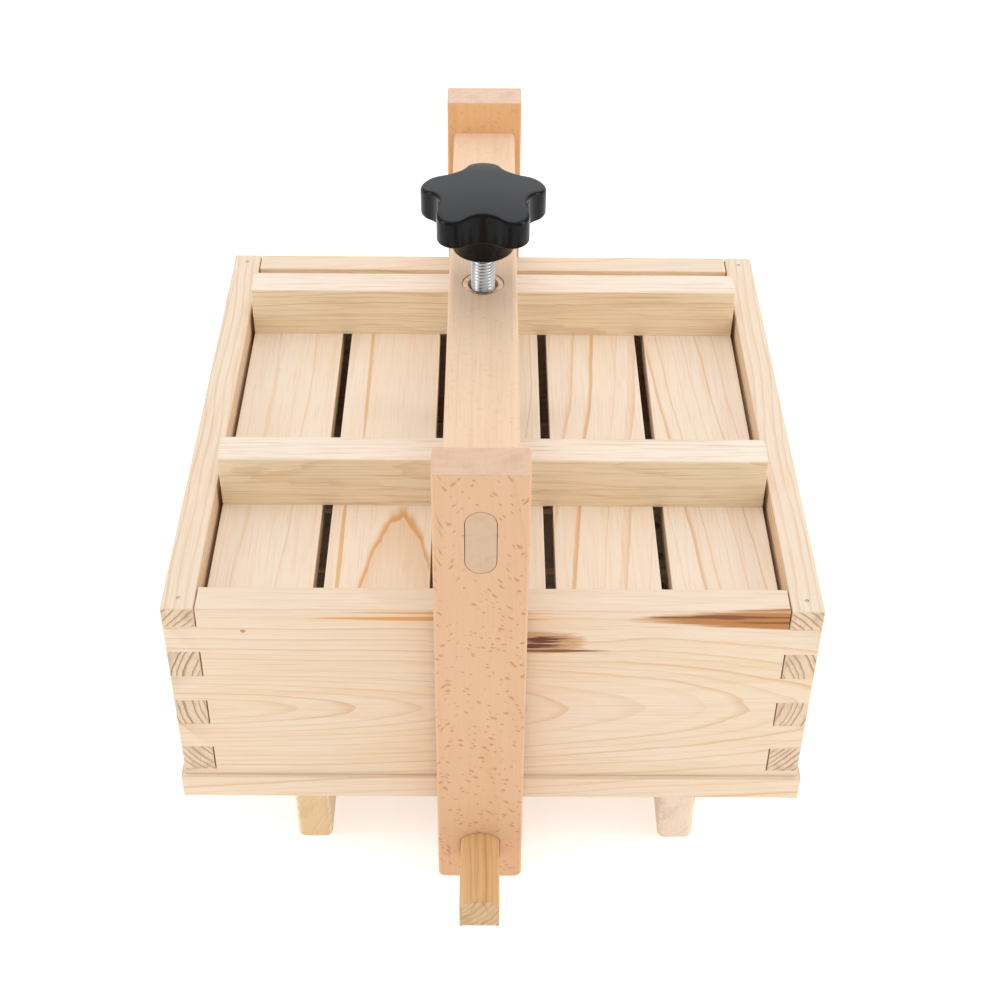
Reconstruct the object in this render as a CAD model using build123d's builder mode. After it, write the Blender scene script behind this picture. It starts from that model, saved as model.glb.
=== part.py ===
"""Wooden cheese press: slatted base, finger-jointed mould, slatted lid and a beech screw frame.

Millimetres. The origin is on the table under the middle of the mould, +X to the right, +Y to the rear, +Z up.
"""

import math
import os

from build123d import *

# Mould box
mould_width = 300.0  # outside, along X and Y
wall_thickness = 15.0
wall_height = 111.0
top_finger = 11.0  # height of the side walls' uppermost finger
finger = 16.0
finger_end_gap = 0.7  # clearance at the bottom of each notch
brad_radius = 0.9
brad_length = 24.0

# Base
base_overhang = 2.0
base_thickness = 14.0
base_slats = 6
base_slat_gap = 5.0
foot_width = 17.5
foot_height = 37.0
foot_length = 296.0
foot_spacing = 183.0
feet_shift = 2.2  # the feet stand this far to the right of the middle
foot_end_radius = 3.0
foot_side_radius = 3.4

# Lid
lid_width = 266.0
lid_slats = 5
lid_slat_gap = 5.0
lid_slat_thickness = 12.0
lid_drop = 11.0  # the slats' top below the mould's rim
batten_width = 18.0
batten_height = 28.5
batten_front_y = -54.5
batten_rear_y = 94.5

# Press frame
frame_x = -5.5  # where the frame stands along the box
upright_width = 41.0
upright_thickness = 18.5
upright_height = 258.0
upright_inner_y = 153.5
upright_foot_radius = 3.5
crossbar_width = 33.6
crossbar_height = 36.0
crossbar_top = 239.5
crossbar_edge_radius = 3.0
tenon_width = 13.3
tenon_height = 33.8
mortise_gap = 0.3
lower_bar_width = 19.0
lower_bar_height = 18.6
lower_bar_crown = 4.6  # how far the arched top rises above its shoulders
lower_bar_bottom = 15.0
lower_bar_length = 426.0
slot_gap = 0.3

# Screw, insert, knob and pad
stud_radius = 5.95
stud_length = 120.0
stud_bottom = 160.0
pilot_radius = 4.0
pilot_length = 4.5
insert_bore_radius = 6.0
insert_radius = 8.0
insert_length = 20.0
flange_radius = 10.2
flange_thickness = 1.5
flange_recess = 0.3
glue_gap = 0.1
underside_hole_radius = 7.0
hub_bottom = 260.0
hub_height = 14.5
hub_bottom_radius = 15.0
hub_taper = 7.5
star_height = 14.5  # at the tips of the lobes
star_crown = 5.0  # how far the middle of the domed top stands above the tips
star_radius = 31.0
lobes = 5
lobe_radius = 8.5
hollow_depth_radius = 22.2  # the star's radius in the hollows between lobes
star_edge_radius = 1.8
pad_radius = 14.0
pad_rim_height = 4.0
pad_boss_radius = 9.0
pad_clearance = 0.3  # between pad and lid
pilot_gap = 0.05

# Wood screws
screw_head_radius = 3.3
screw_head_height = 1.8
screw_radius = 1.7
screw_hole_gap = 0.1
screw_length = 28.0
screw_point = 3.0
base_screw_offset = 13.0
lid_screw_offset = 14.0

# Derived levels and places
base_top = foot_height + base_thickness
rim = base_top + wall_height
lid_top = rim - lid_drop
lid_bottom = lid_top - lid_slat_thickness
inner_half = mould_width / 2 - wall_thickness
base_width = mould_width + 2 * base_overhang
base_slat_width = (base_width - (base_slats - 1) * base_slat_gap) / base_slats
base_slat_ys = [(i - (base_slats - 1) / 2) * (base_slat_width + base_slat_gap) for i in range(base_slats)]
lid_slat_width = (lid_width - (lid_slats - 1) * lid_slat_gap) / lid_slats
lid_slat_xs = [(i - (lid_slats - 1) / 2) * (lid_slat_width + lid_slat_gap) for i in range(lid_slats)]
batten_ys = {"front": batten_front_y, "rear": batten_rear_y}
foot_xs = {"left": feet_shift - foot_spacing / 2, "right": feet_shift + foot_spacing / 2}
tenon_z = crossbar_top - crossbar_height / 2
base_screw_ys = [y + dy for y in base_slat_ys for dy in (-base_screw_offset, base_screw_offset)]
lid_screw_xs = [x + dx for x in lid_slat_xs for dx in (-lid_screw_offset, lid_screw_offset)]
screw_hole_radius = screw_radius + screw_hole_gap
screw_sink_radius = screw_head_radius + screw_hole_gap

os.makedirs("parts", exist_ok=True)


def write(part: Part, name: str) -> None:
    """Label a finished piece and write its STEP file."""
    part.label = name
    export_step(part, f"parts/{name}.step")


# Wood screw, head upward with its top at the origin
with BuildPart() as wood_screw:
    with BuildSketch(Plane.XZ) as screw_profile:
        with BuildLine():
            Polyline(
                (0, 0),
                (screw_head_radius, 0),
                (screw_radius, -screw_head_height),
                (screw_radius, screw_point - screw_length),
                (0, -screw_length),
                close=True,
            )
        make_face()
    revolve(axis=Axis.Z)


# Feet
for side, foot_x in foot_xs.items():
    with BuildPart() as foot:
        with BuildSketch(Plane.XY):
            with Locations((foot_x, 0)):
                Rectangle(foot_width, foot_length)
        extrude(amount=foot_height)
        fillet(foot.edges().filter_by(Axis.X).group_by(Axis.Z)[0], foot_end_radius)
        fillet(foot.edges().filter_by(Axis.Y).group_by(Axis.Z)[0], foot_side_radius)
        with Locations(*[(foot_x, y, foot_height) for y in base_screw_ys]):
            Hole(screw_hole_radius, depth=screw_length - base_thickness + 0.5)
    write(foot.part, f"foot_{side}")


# Base slats, screwed down to both feet
for number, slat_y in enumerate(base_slat_ys, start=1):
    with BuildPart() as base_slat:
        with BuildSketch(Plane.XY.offset(foot_height)):
            with Locations((0, slat_y)):
                Rectangle(base_width, base_slat_width)
        extrude(amount=base_thickness)
        fillet(base_slat.edges().filter_by(Axis.Z), 0.8)
        slat_screw_ys = [slat_y - base_screw_offset, slat_y + base_screw_offset]
        with Locations(*[(x, y, base_top) for x in foot_xs.values() for y in slat_screw_ys]):
            CounterSinkHole(screw_hole_radius, screw_sink_radius, depth=base_thickness)
    write(base_slat.part, f"base_slat_{number}")

with BuildPart() as base_screws:
    with Locations(*[(x, y, base_top - screw_hole_gap) for x in foot_xs.values() for y in base_screw_ys]):
        add(wood_screw.part)
write(base_screws.part, "base_screws")


# Mould walls. The corners are finger joints, counted down from the rim, side wall first.
side_fingers = []
front_fingers = []
finger_high = rim
finger_height = top_finger
side_turn = True
while finger_high > base_top:
    finger_low = max(finger_high - finger_height, base_top)
    (side_fingers if side_turn else front_fingers).append((finger_low, finger_high))
    finger_high = finger_low
    finger_height = finger
    side_turn = not side_turn

notch = wall_thickness + finger_end_gap
corner = (mould_width - wall_thickness) / 2
brad_points = [(sx * corner, sy * corner, rim) for sx in (-1, 1) for sy in (-1, 1)]

for side, sign in {"front": -1, "rear": 1}.items():
    with BuildPart() as cross_wall:
        with BuildSketch(Plane.XY.offset(base_top)):
            with Locations((0, sign * corner)):
                Rectangle(mould_width, wall_thickness)
        extrude(amount=wall_height)
        for low, high in side_fingers:
            notch_x = (mould_width - notch) / 2
            with Locations(*[(end * notch_x, sign * corner, (low + high) / 2) for end in (-1, 1)]):
                Box(notch, wall_thickness, high - low, mode=Mode.SUBTRACT)
        with Locations(*[(end * corner, sign * corner, rim - top_finger) for end in (-1, 1)]):
            Hole(brad_radius + screw_hole_gap, depth=brad_length - top_finger + 0.5)
    write(cross_wall.part, f"wall_{side}")

for side, sign in {"left": -1, "right": 1}.items():
    with BuildPart() as side_wall:
        with BuildSketch(Plane.XY.offset(base_top)):
            with Locations((sign * corner, 0)):
                Rectangle(wall_thickness, mould_width)
        extrude(amount=wall_height)
        for low, high in front_fingers:
            notch_y = (mould_width - notch) / 2
            with Locations(*[(sign * corner, end * notch_y, (low + high) / 2) for end in (-1, 1)]):
                Box(wall_thickness, notch, high - low, mode=Mode.SUBTRACT)
        with Locations(*[(sign * corner, end * corner, rim) for end in (-1, 1)]):
            Hole(brad_radius + screw_hole_gap, depth=top_finger + 0.5)
    write(side_wall.part, f"wall_{side}")

with BuildPart() as corner_brads:
    with Locations(*brad_points):
        Cylinder(brad_radius, brad_length, align=(Align.CENTER, Align.CENTER, Align.MAX))
write(corner_brads.part, "corner_brads")


# Lid: slats along Y under two battens along X, screwed from below
lid_underside = Plane(origin=(0, 0, lid_bottom), x_dir=(1, 0, 0), z_dir=(0, 0, -1))
batten_underside = Plane(origin=(0, 0, lid_top), x_dir=(1, 0, 0), z_dir=(0, 0, -1))

for number, slat_x in enumerate(lid_slat_xs, start=1):
    with BuildPart() as lid_slat:
        with BuildSketch(Plane.XY.offset(lid_bottom)):
            with Locations((slat_x, 0)):
                Rectangle(lid_slat_width, lid_width)
        extrude(amount=lid_slat_thickness)
        fillet(lid_slat.edges().filter_by(Axis.Z), 0.8)
        slat_screw_xs = [slat_x - lid_screw_offset, slat_x + lid_screw_offset]
        with Locations(*[lid_underside * Pos(x, -y, 0) for x in slat_screw_xs for y in batten_ys.values()]):
            CounterSinkHole(screw_hole_radius, screw_sink_radius, depth=lid_slat_thickness)
    write(lid_slat.part, f"lid_slat_{number}")

for side, batten_y in batten_ys.items():
    with BuildPart() as batten:
        with BuildSketch(Plane.XY.offset(lid_top)):
            with Locations((0, batten_y)):
                Rectangle(lid_width, batten_width)
        extrude(amount=batten_height)
        fillet(batten.edges().filter_by(Axis.X).group_by(Axis.Z)[-1], 0.8)
        with Locations(*[batten_underside * Pos(x, -batten_y, 0) for x in lid_screw_xs]):
            Hole(screw_hole_radius, depth=screw_length - lid_slat_thickness + 0.5)
    write(batten.part, f"lid_batten_{side}")

with BuildPart() as lid_screws:
    head_z = lid_bottom + screw_hole_gap
    lid_screw_points = [(x, y, head_z) for x in lid_screw_xs for y in batten_ys.values()]
    with Locations(*[Location(point, (180, 0, 0)) for point in lid_screw_points]):
        add(wood_screw.part)
write(lid_screws.part, "lid_screws")


def lower_bar_section(gap: float) -> Sketch:
    """Return the arched section of the lower bar, grown by gap.

    The sketch's X runs across the bar and its Y runs up from the table.
    """
    half = lower_bar_width / 2 + gap
    low = lower_bar_bottom - gap
    high = lower_bar_bottom + lower_bar_height + gap
    shoulder = high - lower_bar_crown - gap
    with BuildSketch() as section:
        with BuildLine():
            Polyline((-half, shoulder), (-half, low), (half, low), (half, shoulder))
            ThreePointArc((half, shoulder), (0, high), (-half, shoulder))
        make_face()
    return section.sketch


# Uprights: mortise for the crossbar's tenon at the top, slot for the lower bar at the foot
for side, inner_y in {"front": -upright_inner_y, "rear": upright_inner_y}.items():
    outward = math.copysign(1, inner_y)
    upright_plane = Plane(origin=(0, inner_y, 0), x_dir=(1, 0, 0), z_dir=(0, -1, 0))
    with BuildPart() as upright:
        with BuildSketch(upright_plane):
            with Locations((frame_x, upright_height / 2)):
                Rectangle(upright_width, upright_height)
        extrude(amount=-outward * upright_thickness)
        fillet(upright.edges().filter_by(Axis.Y).group_by(Axis.Z)[0], upright_foot_radius)
        fillet(upright.edges().filter_by(Axis.Z), 1.2)
        with BuildSketch(upright_plane):
            with Locations((frame_x, tenon_z)):
                SlotOverall(tenon_height + 2 * mortise_gap, tenon_width + 2 * mortise_gap, rotation=90)
        extrude(amount=-outward * upright_thickness, mode=Mode.SUBTRACT)
        with BuildSketch(upright_plane):
            with Locations((frame_x, 0)):
                add(lower_bar_section(slot_gap))
        extrude(amount=-outward * upright_thickness, mode=Mode.SUBTRACT)
    write(upright.part, f"upright_{side}")


# Crossbar with a rounded tenon at each end and a stepped hole for the insert and stud
with BuildPart() as crossbar:
    with BuildSketch(Plane.XZ.offset(-upright_inner_y)):
        with Locations((frame_x, tenon_z)):
            Rectangle(crossbar_width, crossbar_height)
    extrude(amount=2 * upright_inner_y)
    fillet(crossbar.edges().filter_by(Axis.Y), crossbar_edge_radius)
    with BuildSketch(Plane.XZ.offset(-upright_inner_y - upright_thickness)):
        with Locations((frame_x, tenon_z)):
            SlotOverall(tenon_height, tenon_width, rotation=90)
    extrude(amount=2 * (upright_inner_y + upright_thickness))
    with Locations((frame_x, 0, crossbar_top)):
        Hole(underside_hole_radius, depth=crossbar_height)
        CounterBoreHole(
            insert_radius + glue_gap,
            flange_radius + glue_gap,
            flange_recess + flange_thickness,
            depth=insert_length + glue_gap,
        )
write(crossbar.part, "crossbar")

with BuildPart() as threaded_insert:
    with Locations((frame_x, 0, crossbar_top - flange_recess)):
        Cylinder(insert_radius, insert_length - flange_recess, align=(Align.CENTER, Align.CENTER, Align.MAX))
        Cylinder(flange_radius, flange_thickness, align=(Align.CENTER, Align.CENTER, Align.MAX))
        Hole(insert_bore_radius, depth=insert_length)
    top_circles = threaded_insert.edges().filter_by(GeomType.CIRCLE).group_by(Axis.Z)[-1]
    chamfer(top_circles.sort_by(SortBy.RADIUS)[0], 0.8)
write(threaded_insert.part, "threaded_insert")

with BuildPart() as lower_bar:
    with BuildSketch(Plane.XZ.offset(-lower_bar_length / 2)):
        with Locations((frame_x, 0)):
            add(lower_bar_section(0))
    extrude(amount=lower_bar_length)
    fillet(lower_bar.edges().filter_by(Axis.Y).group_by(Axis.Z)[0], 1.5)
write(lower_bar.part, "lower_bar")


# Screw: stud with a turned-down tip, moulded into a star knob
with BuildPart() as screw_stud:
    with Locations((frame_x, 0, stud_bottom)):
        Cylinder(stud_radius, stud_length, align=(Align.CENTER, Align.CENTER, Align.MIN))
    chamfer(screw_stud.edges().group_by(Axis.Z)[0], 1.0)
    with Locations((frame_x, 0, stud_bottom)):
        Cylinder(pilot_radius, pilot_length, align=(Align.CENTER, Align.CENTER, Align.MAX))
write(screw_stud.part, "screw_stud")


def on_circle(radius: float, angle: float) -> Vector:
    """Return the point at a radius and an angle in degrees about the sketch's origin."""
    return Vector(radius * math.cos(math.radians(angle)), radius * math.sin(math.radians(angle)))


# Each hollow of the star is an arc tangent to the lobes on both sides of it. Its radius comes from the
# triangle between the knob's middle, the lobe's centre and the hollow's centre.
lobe_centre_radius = star_radius - lobe_radius
half_pitch = 180 / lobes
lobe_reach = lobe_centre_radius * math.cos(math.radians(half_pitch))
near_side = lobe_centre_radius**2 + hollow_depth_radius**2 - 2 * lobe_reach * hollow_depth_radius
hollow_radius = (near_side - lobe_radius**2) / (2 * (lobe_radius + lobe_reach - hollow_depth_radius))
hollow_centre_radius = hollow_depth_radius + hollow_radius
crown_radius = (star_radius**2 + star_crown**2) / (2 * star_crown)
crown_top = hub_bottom + hub_height + star_height + star_crown


def lobe_end(lobe_angle: float, turn: float) -> Vector:
    """Return where the lobe at an angle meets the hollow that lies turn degrees further on."""
    lobe_centre = on_circle(lobe_centre_radius, lobe_angle)
    hollow_centre = on_circle(hollow_centre_radius, lobe_angle + turn)
    return lobe_centre + (hollow_centre - lobe_centre).normalized() * lobe_radius


with BuildPart() as knob:
    with BuildSketch(Plane(origin=(frame_x, 0, hub_bottom + hub_height))):
        with BuildLine():
            for lobe in range(lobes):
                lobe_angle = 90 + lobe * 2 * half_pitch
                hollow_angle = lobe_angle + half_pitch
                start = lobe_end(lobe_angle, -half_pitch)
                end = lobe_end(lobe_angle, half_pitch)
                next_start = lobe_end(lobe_angle + 2 * half_pitch, -half_pitch)
                ThreePointArc(start, on_circle(star_radius, lobe_angle), end)
                ThreePointArc(end, on_circle(hollow_depth_radius, hollow_angle), next_start)
        make_face()
    extrude(amount=star_height + star_crown)
    with Locations((frame_x, 0, crown_top - crown_radius)):
        Sphere(crown_radius, mode=Mode.INTERSECT)
    fillet(knob.edges().filter_by(Axis.Z, reverse=True), star_edge_radius)
    with BuildSketch(Plane(origin=(frame_x, 0, hub_bottom))):
        Circle(hub_bottom_radius)
    extrude(amount=hub_height, taper=-hub_taper)
    with BuildSketch(Plane(origin=(frame_x, 0, hub_bottom))):
        Circle(stud_radius + pilot_gap)
    extrude(amount=stud_bottom + stud_length - hub_bottom, mode=Mode.SUBTRACT)
write(knob.part, "knob")

# Pad under the stud, free to stay still while the tip turns in it
pad_bottom = lid_top + pad_clearance
with BuildPart() as press_pad:
    with BuildSketch(Plane(origin=(frame_x, 0, pad_bottom))):
        Circle(pad_radius)
    extrude(amount=pad_rim_height)
    with BuildSketch(Plane(origin=(frame_x, 0, pad_bottom + pad_rim_height))):
        Circle(pad_boss_radius)
    extrude(amount=stud_bottom - pad_clearance - pad_bottom - pad_rim_height)
    with Locations((frame_x, 0, stud_bottom - pad_clearance)):
        Hole(pilot_radius + pilot_gap, depth=pilot_length)
    fillet(press_pad.edges().filter_by(GeomType.CIRCLE).group_by(Axis.Z)[0], 1.0)
write(press_pad.part, "press_pad")
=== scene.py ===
"""Looks of a wooden cheese press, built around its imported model.

The press has a slatted base on two feet, a finger-jointed mould, a slatted lid and a beech frame with a
star-knob screw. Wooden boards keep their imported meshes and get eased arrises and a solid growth-ring material
each. The threaded, turned and moulded pieces are rebuilt here in finer meshes.
"""

from __future__ import annotations

import logging
import math
from dataclasses import dataclass, field, replace
from enum import Enum
from typing import Callable, Iterable, Mapping, Sequence, Union

import bmesh
import bpy
from bpy.types import ID, Material, Mesh, Node, NodeSocket, Object
from mathutils import Matrix, Vector


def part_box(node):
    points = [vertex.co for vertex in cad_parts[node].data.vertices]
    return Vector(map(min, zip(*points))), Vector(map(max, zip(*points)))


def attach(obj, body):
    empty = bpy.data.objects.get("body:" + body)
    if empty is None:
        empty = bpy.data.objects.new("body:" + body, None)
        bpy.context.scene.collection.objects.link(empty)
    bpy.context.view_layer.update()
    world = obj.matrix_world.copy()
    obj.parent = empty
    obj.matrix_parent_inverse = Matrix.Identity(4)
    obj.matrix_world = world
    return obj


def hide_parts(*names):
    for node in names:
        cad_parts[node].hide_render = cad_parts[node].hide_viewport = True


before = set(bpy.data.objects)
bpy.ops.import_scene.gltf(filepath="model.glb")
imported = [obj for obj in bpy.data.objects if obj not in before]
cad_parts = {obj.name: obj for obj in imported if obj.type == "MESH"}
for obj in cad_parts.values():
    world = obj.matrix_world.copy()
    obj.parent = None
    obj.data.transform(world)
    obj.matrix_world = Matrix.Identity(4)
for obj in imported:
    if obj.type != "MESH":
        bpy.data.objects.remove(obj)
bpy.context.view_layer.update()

log = logging.getLogger("cheese_press")

MM = 0.001
Colour = tuple[float, float, float]
Point = tuple[float, float]
Measure = Union[float, Callable[[float], float]]


# ---------------------------------------------------------------------------------------------- shader maths


def joining(operation: str, swapped: bool = False) -> Callable[[Wire, Number], Wire]:
    """Return an operator that joins a wire and another number.

    Args:
        operation: the Math node's operation.
        swapped: True puts the other number first.

    Returns:
        The method for the Wire class.
    """

    def joined(wire: Wire, other: Number) -> Wire:
        """Return the result of one Math node on both numbers."""
        return wire.graph.math(operation, *((other, wire) if swapped else (wire, other)))

    return joined


class Wire:
    """One node output that reads like a number: an operator on it adds a Math node."""

    def __init__(self, graph: Graph, socket: NodeSocket) -> None:
        """Keep the graph that the output belongs to and the output itself."""
        self.graph = graph
        self.socket = socket

    __add__, __radd__ = joining("ADD"), joining("ADD", swapped=True)
    __sub__, __rsub__ = joining("SUBTRACT"), joining("SUBTRACT", swapped=True)
    __mul__, __rmul__ = joining("MULTIPLY"), joining("MULTIPLY", swapped=True)
    __truediv__ = joining("DIVIDE")
    __pow__ = joining("POWER")

    def __abs__(self) -> Wire:
        """Return the size of self without its sign."""
        return self.graph.math("ABSOLUTE", self)


Number = Union[Wire, float]
Feed = Union[Wire, float, Colour, Vector]


class Graph:
    """One material's nodes, ending in a Principled shader."""

    def __init__(self, name: str) -> None:
        """Make the material and its shader.

        Args:
            name: the material's name.
        """
        self.material = bpy.data.materials.new(name)
        self.material.use_nodes = True
        self.tree = self.material.node_tree
        self.tree.nodes.clear()
        self.shader = self.node("ShaderNodeBsdfPrincipled")
        output = self.node("ShaderNodeOutputMaterial")
        self.tree.links.new(self.shader.outputs["BSDF"], output.inputs["Surface"])

    def node(
        self,
        kind: str,
        settings: Mapping[str, object] | None = None,
        inputs: Mapping[str | int, Feed] | None = None,
    ) -> Node:
        """Add a node.

        Args:
            kind: the node's type name.
            settings: its properties, set before its inputs.
            inputs: values or wires for its sockets, by name or number.

        Returns:
            The new node.
        """
        node = self.tree.nodes.new(kind)
        for key, value in (settings or {}).items():
            setattr(node, key, value)
        self.fill(node, inputs or {})
        return node

    def feed(self, socket: NodeSocket, value: Feed) -> None:
        """Link a wire to a socket, or set the socket to a plain value."""
        if isinstance(value, Wire):
            self.tree.links.new(value.socket, socket)
        elif socket.type == "RGBA":
            socket.default_value = (*value, 1.0)
        else:
            socket.default_value = value

    def fill(self, node: Node, inputs: Mapping[str | int, Feed]) -> None:
        """Feed several of a node's sockets, given by name or number."""
        for key, value in inputs.items():
            self.feed(node.inputs[key], value)

    def out(self, node: Node, output: str | int = 0) -> Wire:
        """Return one of a node's outputs as a wire."""
        return Wire(self, node.outputs[output])

    def math(self, operation: str, *values: Number) -> Wire:
        """Return the result of a Math node on one to three numbers."""
        return self.out(self.node("ShaderNodeMath", {"operation": operation}, dict(enumerate(values))))

    def smooth(self, value: Number, low: Number, high: Number) -> Wire:
        """Return 0 below low, 1 above high and an eased step between."""
        settings = {"interpolation_type": "SMOOTHSTEP"}
        inputs = {"Value": value, "From Min": low, "From Max": high}
        return self.out(self.node("ShaderNodeMapRange", settings, inputs))

    def least(self, first: Number, second: Number) -> Wire:
        """Return the smaller of two numbers."""
        return self.math("MINIMUM", first, second)

    def most(self, first: Number, second: Number) -> Wire:
        """Return the larger of two numbers."""
        return self.math("MAXIMUM", first, second)

    def point(self, x: Number, y: Number, z: Number) -> Wire:
        """Return a vector made of three numbers."""
        return self.out(self.node("ShaderNodeCombineXYZ", None, {0: x, 1: y, 2: z}))

    def split(self, vector: Wire) -> tuple[Wire, Wire, Wire]:
        """Return a vector's three numbers."""
        node = self.node("ShaderNodeSeparateXYZ", None, {0: vector})
        return self.out(node, 0), self.out(node, 1), self.out(node, 2)

    def noise(self, place: Wire, detail: float = 2.0, roughness: float = 0.5) -> Wire:
        """Return cloud noise from 0 to 1 with features about one unit across."""
        inputs = {"Vector": place, "Scale": 1.0, "Detail": detail, "Roughness": roughness}
        return self.out(self.node("ShaderNodeTexNoise", None, inputs))

    def cloud(self, place: Sequence[Wire], scale: float | Sequence[float], *texture: float) -> Wire:
        """Return cloud noise at a place.

        Args:
            place: the three numbers of the place.
            scale: features per unit, one number or one for each axis.
            *texture: the noise's detail and roughness, where they differ from the usual ones.

        Returns:
            The noise, from 0 to 1.
        """
        scales = scale if isinstance(scale, Sequence) else (scale,) * 3
        return self.noise(self.point(*(value * size for value, size in zip(place, scales))), *texture)

    def chance(self, value: Number) -> Wire:
        """Return a random number from 0 to 1 that depends only on value."""
        return self.out(self.node("ShaderNodeTexWhiteNoise", {"noise_dimensions": "1D"}, {"W": value}))

    def mix(self, factor: Number, first: Feed, second: Feed) -> Wire:
        """Return a colour between two, first at factor 0 and second at factor 1."""
        settings = {"data_type": "RGBA", "clamp_factor": True}
        return self.out(self.node("ShaderNodeMix", settings, {0: factor, 6: first, 7: second}), 2)

    def place_mm(self) -> tuple[Wire, Wire, Wire]:
        """Return the point being shaded in the object's own frame, in millimetres."""
        coordinates = self.out(self.node("ShaderNodeTexCoord"), "Object")
        scaled = self.node("ShaderNodeVectorMath", {"operation": "SCALE"}, {0: coordinates, "Scale": 1 / MM})
        return self.split(self.out(scaled))

    def facing(self) -> tuple[Wire, Wire, Wire]:
        """Return the surface's outward direction in the object's own frame."""
        return self.split(self.out(self.node("ShaderNodeTexCoord"), "Normal"))

    def bump(self, height: Wire, strength: float, depth_mm: float) -> None:
        """Raise the surface by a height from 0 to 1.

        Args:
            height: what is raised.
            strength: how much of the bump shows.
            depth_mm: how far height 1 stands above height 0.
        """
        inputs = {"Strength": strength, "Distance": depth_mm * MM, "Height": height}
        self.feed(self.shader.inputs["Normal"], self.out(self.node("ShaderNodeBump", None, inputs)))


# ---------------------------------------------------------------------------------------------- finishes


class Grain(Enum):
    """Which way a board's grain runs."""

    X = 0
    Y = 1
    Z = 2


@dataclass(frozen=True)
class Mark:
    """A knot or resin streak in a board, in millimetres from the board's middle.

    A pointed mark narrows to tips along the board's X, as a resin streak does.
    """

    place: tuple[float, float, float]
    reach: tuple[float, float, float]
    colour: Colour
    strength: float = 0.85
    pointed: bool = False
    push: float = 0.0
    ragged: float = 0.9


@dataclass(frozen=True)
class Cut:
    """How one board was sawn from its log, in millimetres from the board's middle.

    Pith and tilt are given along the two axes across the grain, in X, Y, Z order.
    """

    grain: Grain
    pith: tuple[float, float]
    tilt: tuple[float, float] = (0.0, 0.0)
    seed: float = 0.0
    ring: float = 4.0
    sway: float = 8.0
    ripple: float = 1.6
    uneven: float = 2.0
    phase: float = 0.0
    tone: float = 0.0
    contrast: float = 1.0
    late_from: float = 0.70
    glow: float = 0.0
    steady: float = 0.25
    marks: tuple[Mark, ...] = ()


@dataclass(frozen=True)
class Pattern:
    """Noise drawn out along a board's grain, and the band of it that shows.

    Scale counts features per millimetre, along the grain first. Shift is the place in that order where a
    board's seed is added, and None keeps the noise the same on every board.
    """

    scale: tuple[float, float, float]
    detail: float = 2.0
    roughness: float = 0.5
    band: tuple[float, float] = (0.5, 0.75)
    strength: float = 1.0
    shift: int | None = 0


FIBRES = Pattern((0.035, 1.5, 1.5), 3.0, 0.6)
HAIRS = Pattern((0.016, 0.75, 0.75), band=(0.50, 0.70), strength=0.5)
STREAKS = Pattern((0.004, 0.16, 0.16), 3.0, 0.55, band=(0.35, 0.75), strength=0.55)
CLOUDS = Pattern((0.012, 0.03, 0.03), band=(0.40, 0.70), shift=1)
PORES = Pattern((0.3, 1.9, 1.9), 2.0, 0.7, band=(0.45, 0.75), strength=0.22, shift=None)
RAYS = Pattern((0.3, 1.4, 0.12), 2.0, 0.6, band=(0.5, 0.7), strength=0.16, shift=None)
STAIN = Pattern((0.08, 0.11, 0.11), strength=0.35, shift=None)
DRIFT = Pattern((0.007, 0.006, 0.006), 1.0)
CROSS_DRIFT = Pattern((0.009, 0.01, 0.01), 1.0, shift=1)
RIPPLE = Pattern((0.03, 0.16, 0.16))
FLECK_SLANT = Pattern((0.01, 0.05, 0.05), 1.0)
FLECK_PATCHES = Pattern((0.012, 0.04, 0.04), 1.0, band=(0.15, 0.45), shift=1)

# Bands over which a face counts as facing up, a face as end grain, and a mark as ended.
UP_FACING = (0.6, 0.95)
END_FACING = (0.75, 0.92)
MARK_EDGE = (0.65, 1.0)

# Growth rings, in shares of one ring. A board's late wood starts to rise RISE before its late_from, or at
# LATEST_RISE if that is sooner. It is full at the start of RING_FADE and gone at its end.
RISE = 0.25
LATEST_RISE = 0.93
GLOW_FROM = 0.60
RING_FADE = (0.95, 0.985)
LATE_POWER = 2.0
CHANCE_POWER = 1.4
UNEVEN_SCALE = 0.11

# A knot pushes rings aside out to PUSH_REACH times its own size, fading to nothing at PUSH_END.
PUSH_REACH = 1.8
PUSH_END = 1.6

# Beech flecks, in millimetres, each kind with its size, the chance it starts from and its shift.
FLECK_KINDS = ((1.0, 0.34, 0.0), (0.62, 0.42, 37.0))
FLECK_LENGTH, FLECK_WIDTH = 3.6, 5.4
FLECK_LEVEL, FLECK_BOW = 0.42, 3.2
FLECK_EDGE = (0.24, 0.42)
FLECK_CHANCE = 0.25

# Worn arrises, in millimetres: a pale line whose width varies with the wear.
ARRIS_BAND = (0.15, 0.5)
ARRIS_WEAR = 1.2
WEAR_SCALE = 0.11


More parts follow.
